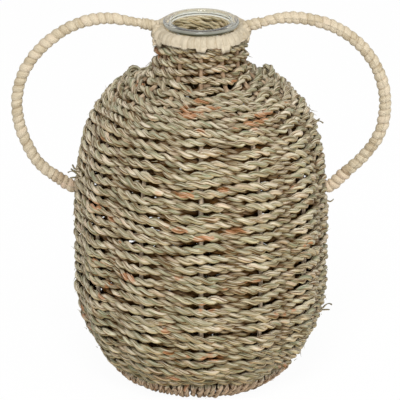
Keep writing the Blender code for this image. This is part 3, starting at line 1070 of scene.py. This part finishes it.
def windHandles(materials):
    straight, face = handleLine()
    count = handles["pathSteps"]
    collarFace = basket["neckRadius"] + handles["collarStrip"]
    for word, side, seed in (("right", 1, 3), ("left", -1, 8)):
        line = bentLine(straight, handles["bends"][word])
        first = distanceTo(line, 0, collarFace - handles["bindingReach"])
        last = lineLength(line) - (face - line[-1].x)
        wrapStart = first + handles["bindingReach"] + handles["collarBinding"]
        stops = [first, wrapStart, last - handles["wallBinding"], last + handles["wallReach"]]
        paths = [smoothLine([Vector((side * x, y, z)) for x, y, z in handles["tails"][word]])]
        for start, end in zip(stops, stops[1:]):
            spots = [pointAlong(line, start + (end - start) * step / count) for step in range(count + 1)]
            paths.append([(side * spot.x, 0, spot.y) for spot in spots])
        for points, (name, (slot, node, more, sizes)) in zip(paths, windings.items()):
            values = {"Radius": handles["radius"][word], **sizes, "Seed": seed + more,
                      "Material": materials[slot]}
            grow(lineMesh(name, points), f"{name}_{word}", woundTree, values, slot, f"{node}_{word}")


# Collar: flat strips laid side by side over the neck ring, with a longer tab over each rib

collar = {
    "Strips": 40,
    "Steps A Strip": 13,
    "Section Points": 64,
    "Groove": 0.0006,
    "Rib Groove": 0.0011,
    "Rib Groove From": 0.038,  # the grooves beside the tabs are in the outer face only
    "Rib Groove To": 0.042,
    "Tab Length": 0.0062,
    "Tab Width": 0.0085,
    "End Change": 0.0016,      # how much the strips' ends differ in height
    "Strip Change": 0.0004,    # and the strips in thickness
    "Inset": 0.0002,
    "Weld": 0.00001,
    "Radius": 0.0435,
    "Ribs": basket["ribs"],
}

section = {
    "drop": 0.0021,
    "height": 0.0076,
    "hump": 0.0012,
    "innerRadius": 0.0315,
    "innerRound": 0.0018,
    "shelfRadius": 0.0358,
    "shelfStep": 0.001,
    "edge": 0.0006,
    "edgeRound": 0.0003,
    "outerSteps": 9,
    "innerSteps": 3,
}


def buildCollarTree():
    tree, entry, size = startTree("Collar strips", collar)
    steps = size["Strips"] * size["Steps A Strip"]
    grid = take(tree, "GeometryNodeMeshGrid", {"Size X": 1.0, "Size Y": 1.0, "Vertices X": steps + 1.0,
                                               "Vertices Y": size["Section Points"] + 1.0})
    spot = placeOf(tree)
    grid = keep(grid, around=spot.part(0) + 0.5, along=spot.part(1) + 0.5)
    around = kept(tree, "around")
    along = kept(tree, "along")
    sampled = {"Factor": along, "Value": kept(tree, "tail")}
    place, run, tail = sampleLine(entry.then("MeshToCurve"), "FACTOR", sampled)
    angle = around * fullTurn
    lean = angle.around(2.0, 0.0).noise() * 0.8
    phase = around * size["Strips"] + (along * 3.0 * math.pi).sine() * 0.12 + lean
    lift = (phase * math.pi).sine().calc("ABSOLUTE").calc("POWER", 0.5)
    tone = chance(tree, 4, ID=phase.calc("FLOOR"))
    raised = (lift - 1.0) * size["Groove"] + tone * size["Strip Change"] - size["Inset"]

    # tabs: only the lower edge of the outer face comes down, by a length that differs from rib to rib
    ribShare = around * size["Ribs"] + 0.5
    fromRib = (ribShare.calc("FRACT") - 0.5).calc("ABSOLUTE") * fullTurn * size["Radius"] / size["Ribs"]
    nearRib = fromRib.between(size["Tab Width"] * 0.42, size["Tab Width"] * 0.55, 1.0, 0.0, smooth=True)
    ribTone = chance(tree, 24, ID=ribShare.calc("FLOOR"))
    drop = nearRib * size["Tab Length"] * ribTone.calc("POWER", 1.3) + tone * size["End Change"]
    dent = fromRib.between(size["Tab Width"] * 0.4, size["Tab Width"] * 0.8, 1.0, 0.0, smooth=True)
    outer = place.part(0).between(size["Rib Groove From"], size["Rib Groove To"])
    raised = raised - dent * size["Rib Groove"] * outer
    radius = place.part(0) + run.part(2) * raised
    height = place.part(2) - run.part(0) * raised - tail * drop
    shape = move(grid, angle.around(radius, height)).then("MergeByDistance", {"Distance": size["Weld"]})
    strip = join3(along * 9.0, 0.0, phase)
    return endTree(keep(shape, strip=strip, lift=lift, tone=tone), size["Material"])


def arc(centre, radiusX, radiusZ, start, end, steps):
    points = []
    for step in range(steps + 1):
        turn = math.radians(start + (end - start) * step / steps)
        points.append((centre[0] + radiusX * math.cos(turn), centre[1] + radiusZ * math.sin(turn)))
    return points


def layCollar(material):
    # the section runs up the outer face, inward over the round top, and down inside
    low = basket["neckHeight"] - section["drop"]
    height = section["height"]
    shoulder = low + height - section["hump"]   # where the top comes down to, further in
    inner, shelf, outer = section["innerRadius"], section["shelfRadius"], collar["Radius"]
    face = outer - handles["collarStrip"]
    points = [(face, low - section["edge"]), (outer - section["edgeRound"], low - section["edge"])]
    points += arc((shelf, low), outer - shelf, height, 0, 90, section["outerSteps"])
    hanging = 4                                 # the points that come down with the tabs
    step, hump, bend = section["shelfStep"], section["hump"], section["innerRound"]
    points += [(shelf - step, shoulder + hump), (shelf - 2 * step, shoulder + hump * 0.5)]
    points += arc((inner + bend, shoulder - bend), bend, bend, 90, 180, section["innerSteps"])
    points += [(inner, low), (face - step, low), (face, low)]
    line = lineMesh("collarSection", upright(points), closed=True)
    carry(line, "tail", [1.0] * hanging + [0.0] * (len(points) - hanging - 1) + [0.6])
    grow(line, "collar_strips", buildCollarTree(), {"Material": material}, "collar_strip", "neck_collar")


# Glass: a turned tube with a round bottom and a rolled lip, which rests on the collar

glass = {
    "tubeRadius": 0.0265,
    "wall": 0.0025,
    "lipRadius": 0.0332,
    "lipThickness": 0.0046,
    "lipDrop": 0.0011,       # how far the lip stays under the top of its box
    "mouthRadius": 0.0262,
    "mouthRound": 0.0016,
    # how the tube's outside flares to the lip, from its face and the lip's underside
    "flare": [(0, -0.012), (0, -0.002), (0.0006, -0.0005), (0.0018, 0)],
    # how the mouth narrows to the bore, from the mouth's radius and then from the bore's
    "mouth": [(-0.0002, -0.0005), (-0.0011, -0.006)],
    "throat": [(0.0002, -0.014), (0, -0.024)],
    "steps": 128,
    "bottomSteps": 16,
    "lipSteps": 12,
    "mouthSteps": 6,
}


def turned(name, points, steps):
    # a closed outline from pole to pole, turned round the axis
    data = bpy.data.meshes.new(name)
    places = [(0, 0, points[0][1])]
    middle = points[1:-1]
    for step in range(steps):
        angle = fullTurn * step / steps
        places += [(x * math.cos(angle), x * math.sin(angle), z) for x, z in middle]
    places.append((0, 0, points[-1][1]))
    last = len(places) - 1
    rows = len(middle)
    faces = []
    for step in range(steps):
        here, there = 1 + step * rows, 1 + (step + 1) % steps * rows
        faces.append((0, there, here))
        for row in range(rows - 1):
            faces.append((here + row, there + row, there + row + 1, here + row + 1))
        faces.append((here + rows - 1, there + rows - 1, last))
    data.from_pydata(places, [], faces)
    data.shade_smooth()
    return addThing(name, data)


def lipUnderside():
    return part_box("glass_insert")[1].z - glass["lipDrop"] - glass["lipThickness"]


def blowGlass(material):
    # drawn from the middle of the bottom's outside, up the outside and over the lip into the bore
    under = lipUnderside()
    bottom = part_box("glass_insert")[0].z
    tube, roll = glass["tubeRadius"], glass["lipThickness"] / 2
    mouth, bend = glass["mouthRadius"], glass["mouthRound"]
    bore = tube - glass["wall"]
    points = arc((0, bottom + tube), tube, tube, -90, 0, glass["bottomSteps"])
    points += [(tube + x, under + z) for x, z in glass["flare"]]
    points += arc((glass["lipRadius"] - roll, under + roll), roll, roll, -90, 90, glass["lipSteps"])
    points += arc((mouth + bend, under + roll * 1.35), bend, roll * 0.65, 90, 180, glass["mouthSteps"])
    points += [(mouth + x, under + z) for x, z in glass["mouth"]]
    points += [(bore + x, under + z) for x, z in glass["throat"]]
    points += arc((0, bottom + tube), bore, bore, 0, -90, glass["bottomSteps"])
    piece = turned("glass_tube", points, glass["steps"])
    piece.data.materials.append(material)
    fit(piece, "glass", "clear_glass", "glass_insert")


# Loose ends: fibres that stand off the rope

fibres = {
    "Count": 300,
    "Length": 0.0062,
    "Thickness": 0.00034,
    "Depth": 0.0012,         # how far in they start
    "Sides": 4,
    "Low": 0.0,
    "High": 0.3,
    "Seed": 11,
}

fibreHeights = (0.004, 0.312)


def buildFibreTree():
    tree, entry, size = startTree("Loose fibres", fibres)
    line = take(tree, "GeometryNodeMeshLine", {"Count": size["Count"]})

    def draw(number, low=0.0, high=1.0):
        return chance(tree, size["Seed"] + float(number), low, high)

    angle = draw(1, 0.0, fullTurn)
    distance = size["Low"] + (size["High"] - size["Low"]) * draw(2)
    place, run = sampleLine(entry.then("MeshToCurve"), "LENGTH", {"Length": distance})[:2]
    radius = place.part(0) - run.part(2) * size["Depth"]
    height = place.part(2) + run.part(0) * size["Depth"]
    outward = angle.around(run.part(2), run.part(0) * -1.0)
    line = move(line, angle.around(radius, height))
    # each fibre leans along the rope, so its own X runs round the basket
    sideways = join3(angle.sine() * -1.0, angle.cosine(), draw(6, -0.35, 0.35))
    aim = take(tree, "FunctionNodeAlignRotationToVector", {"Vector": outward}, axis="Z")
    aimed = {"Rotation": aim, "Vector": sideways}
    aim = take(tree, "FunctionNodeAlignRotationToVector", aimed, axis="X", pivot_axis="Z")
    flip = draw(5).calc("ROUND") * 2.0 - 1.0
    bow = {"Resolution": 6, "Start": (0, 0, 0), "Middle": (0.55, 0.1, 0.06), "End": (1.0, -0.05, 0.34)}
    hair = take(tree, "GeometryNodeCurveQuadraticBezier", bow)
    long = size["Length"] * draw(3, 0.5, 1.7)
    scale = join3(long * flip, long * draw(4, -1.0, 1.0), long * draw(7, 0.2, 1.3))
    placed = line.then("InstanceOnPoints", {"Instance": hair, "Rotation": aim, "Scale": scale})
    share = take(tree, "GeometryNodeSplineParameter", output="Factor")
    placed = placed.then("RealizeInstances").then("SetCurveRadius", {"Radius": 1.15 - share})
    shape = sweep(placed, size["Sides"], take(tree, "GeometryNodeInputRadius") * size["Thickness"])
    return endTree(shape, size["Material"])


def addFibres(material):
    low, high = [distanceTo(outline, 1, height) for height in fibreHeights]
    sizes = {"Low": low, "High": high, "Material": material}
    line = lineMesh("fibreOutline", upright(outline))
    grow(line, "loose_fibres", buildFibreTree(), sizes, "grass_rope", "woven_wall")


# Looks of the strips, the glass and the CAD pieces that show

def stripMaterial(name, look):
    # fibres run along the strip: the strip attribute is along it in x and y, and across it in z
    material, tree, shader = newMaterial(name)
    strip = attribute(tree, "strip")
    tone = attribute(tree, "tone", "Fac")
    lift = attribute(tree, "lift", "Fac")
    place = objectPlace(tree)
    fibre = (strip * (0.9, 0.9, 9.0)).noise(1.0, 3.0)
    soft = (strip * (0.5, 0.5, 1.6)).noise()
    mixed = fibre * 0.4 + soft * 0.35 + (tone - 0.5) * look["turnContrast"] + 0.5
    colour = ramp(mixed, [(0.1, look["dark"]), (0.42, look["middle"]), (0.62, look["pale"]),
                          (0.95, look["pink"])])
    # painted shade darkens the grooves between the turns, in broken patches
    broken = (place * 150.0).noise().between(-0.35, 0.15, 0.25, 1.0)
    colour = mixColour(lift.between(0.0, 0.5, look["grooveShade"], 0.0) * broken, colour, look["groove"])
    fleck = place.noise(420.0, 2.0).between(0.42, 0.6, 0.0, 0.5)
    colour = mixColour(fleck, colour, look["dark"])
    # painted shadow under the glass lip darkens the collar's inner part with lumpy tones
    if "lipShadowRadii" in look:
        lumps = (place * (1.0, 1.0, 0.5)).noise(210.0, 2.0) * 0.9 + 0.5
        lipShadow = ramp(lumps, [(0.25, look["groove"]), (0.5, look["inner"]), (0.8, look["middle"])])
        radius = (place * (1.0, 1.0, 0.0)).length()
        colour = mixColour(radius.between(*look["lipShadowRadii"], 1.0, 0.0), colour, lipShadow)
    height = fibre + place.noise(300.0, 2.0) * 0.4
    finishSurface(shader, colour, height, look["relief"], roughness=0.7, specular=0.35)
    return material


paleLook = {
    "pale": (0.56, 0.48, 0.35),
    "middle": (0.485, 0.41, 0.285),
    "pink": (0.545, 0.44, 0.32),
    "dark": (0.37, 0.29, 0.18),
    "groove": (0.26, 0.18, 0.10),
    "relief": 0.00035,
    "grooveShade": 0.8,
    "turnContrast": 0.4,
}

collarLook = {
    **paleLook,
    "pale": (0.525, 0.457, 0.338),
    "middle": (0.45, 0.383, 0.275),
    "pink": (0.515, 0.415, 0.302),
    # painted shadow under the glass lip: colour and radii of the darker inner part
    "inner": (0.44, 0.35, 0.23),
    "lipShadowRadii": (0.0328, 0.0338),
    "grooveShade": 0.75,
}

tanLook = {
    **paleLook,
    "pale": (0.56, 0.465, 0.33),
    "middle": (0.49, 0.40, 0.275),
    "pink": (0.55, 0.42, 0.30),
    "dark": (0.34, 0.24, 0.14),
    "groove": (0.12, 0.065, 0.03),
    "grooveShade": 0.9,
    "turnContrast": 0.7,
}

glassLook = {
    "clear": (0.96, 0.98, 0.965),
    "lip": (0.93, 0.94, 0.87),
    "through": (0.96, 0.97, 0.96),
    "refraction": 1.46,
    # painted shade: a dark band on the lip's lower outer edge, strongest at the front
    "edge": (0.062, 0.063, 0.031),
    "edgeShadeShare": 0.95,
    "edgeRadius": 0.0319,
    "edgeWidth": 0.0004,
    "lipBlend": 0.001,
    "edgeShadeRise": (0.0016, 0.003),    # heights over the lip's underside between which the painted shade thins
    "edgeShadeDepth": (-0.028, -0.005),  # and the places from front to back
}

cordLook = {
    "dark": (0.30, 0.20, 0.12),
    "middle": (0.50, 0.38, 0.25),
    "pale": (0.62, 0.50, 0.36),
    "ribLightHeights": (0.26, 0.285),
    "relief": 0.0004,
}

wireLook = {
    "dark": (0.17, 0.14, 0.12),
    "pale": (0.36, 0.34, 0.32),
    "relief": 0.0001,
}


def glassMaterial():
    # light passes straight through to the basket behind, so that the neck isn't dark
    look = glassLook
    material, tree, shader = newMaterial("clearGlass")
    place = objectPlace(tree)
    height = place.part(2)
    bottom = lipUnderside()
    lip = height.between(bottom - look["lipBlend"], bottom, smooth=True)
    # painted shade on the lip's lower outer edge stands in for the dark gap seen under it; it fades upward
    # and towards the back
    edgeShadeFade = height.between(*[bottom + rise for rise in look["edgeShadeRise"]], 1.0, 0.8)
    edgeShadeFade = edgeShadeFade * place.part(1).between(*look["edgeShadeDepth"], 1.0, 0.35)
    radius = (place * (1.0, 1.0, 0.0)).length()
    edge = radius.between(look["edgeRadius"], look["edgeRadius"] + look["edgeWidth"]) * lip * edgeShadeFade
    colour = mixColour(edge, mixColour(lip, look["clear"], look["lip"]), look["edge"])
    plug(shader, {"Roughness": 0.0, "IOR": look["refraction"], "Base Color": colour,
                  "Transmission Weight": 1.0 - edge * look["edgeShadeShare"]})
    through = take(tree, "ShaderNodeBsdfTransparent", {"Color": (*look["through"], 1)})
    mixSurface(tree, rays(tree, "Shadow", "Diffuse"), Field(shader.outputs[0]), through)
    return material


def cordMaterial():
    # paper cord of the ribs, with painted light making them paler in the belly and painted shade darkening
    # them in the neck
    look = cordLook
    material, tree, shader = newMaterial("ribCord")
    place = objectPlace(tree)
    streaks = (place * (300.0, 300.0, 60.0)).noise(1.0, 2.0)
    ribLightAndShade = place.part(2).between(*look["ribLightHeights"], 0.75, 0.1)
    colour = ramp(streaks * 0.5 + ribLightAndShade, [(0.2, look["dark"]), (0.5, look["middle"]), (0.8, look["pale"])])
    finishSurface(shader, colour, streaks, look["relief"], roughness=0.7, specular=0.3)
    return material


def wireMaterial():
    material, tree, shader = newMaterial("plainWire")
    spots = objectPlace(tree).noise(500.0, 3.0)
    colour = ramp(spots * 0.5 + 0.5, [(0.3, wireLook["dark"]), (0.7, wireLook["pale"])])
    finishSurface(shader, colour, spots, wireLook["relief"], roughness=0.45, specular=0.5, metallic=1.0)
    return material


pale = stripMaterial("paleStrip", paleLook)
tan = stripMaterial("tanStrip", tanLook)
layTopRows(grassRope)
addLoops(grassRope)
addTufts(grassRope)
wrapFoot(ropeMaterial("borderRope"))
coilBase(ropeMaterial("floorRope"))
windHandles({"pale_strip": pale, "tan_strip": tan})
layCollar(stripMaterial("collarStrip", collarLook))
blowGlass(glassMaterial())
print("foot, handles, collar and glass made")

addFibres(ropeMaterial("fibres"))
ribCord = cordMaterial()
wire = wireMaterial()
for name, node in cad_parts.items():
    isWire = name.endswith("_ring") or name.startswith("handle_core")
    if isWire or name.startswith("rib_"):
        node.data.materials.clear()
        node.data.materials.append(wire if isWire else ribCord)
print("fibres, ribs and wire dressed")


# Camera, lamps and floor go in last

def addStage():
    addCamera()
    for name, softbox in light["softboxes"].items():
        addSoftbox(name, *softbox)
    world = bpy.data.worlds.new("studio")
    bpy.context.scene.world = world
    world.use_nodes = True
    tree = world.node_tree
    tree.nodes.clear()
    white = (1, 1, 1, 1)
    dim = take(tree, "ShaderNodeBackground", {"Color": white, "Strength": light["world"]})
    full = take(tree, "ShaderNodeBackground", {"Color": white, "Strength": 1.0})
    seen = rays(tree, "Camera", "Glossy", "Transmission")
    mixed = take(tree, "ShaderNodeMixShader", {0: seen, 1: dim, 2: full})
    addNode(tree, "ShaderNodeOutputWorld", {"Surface": mixed})

    data = bpy.data.meshes.new("floor")
    reach = light["floorReach"]
    corners = [(-reach, -reach, 0), (reach, -reach, 0), (reach, reach, 0), (-reach, reach, 0)]
    data.from_pydata(corners, [], [(0, 1, 2, 3)])
    floor = addThing("floor", data)
    material, tree, shader = newMaterial("paleFloor")
    plug(shader, {"Base Color": (*light["floorColour"], 1), "Roughness": 0.9, "Specular IOR Level": 0.1})
    glow = take(tree, "ShaderNodeEmission", {"Color": white, "Strength": 1.0})
    lifted = rays(tree, "Camera", "Transmission") * light["floorLift"]
    mixSurface(tree, lifted, Field(shader.outputs[0]), glow)
    data.materials.append(material)
    bpy.context.scene.view_settings.view_transform = "Standard"


addStage()
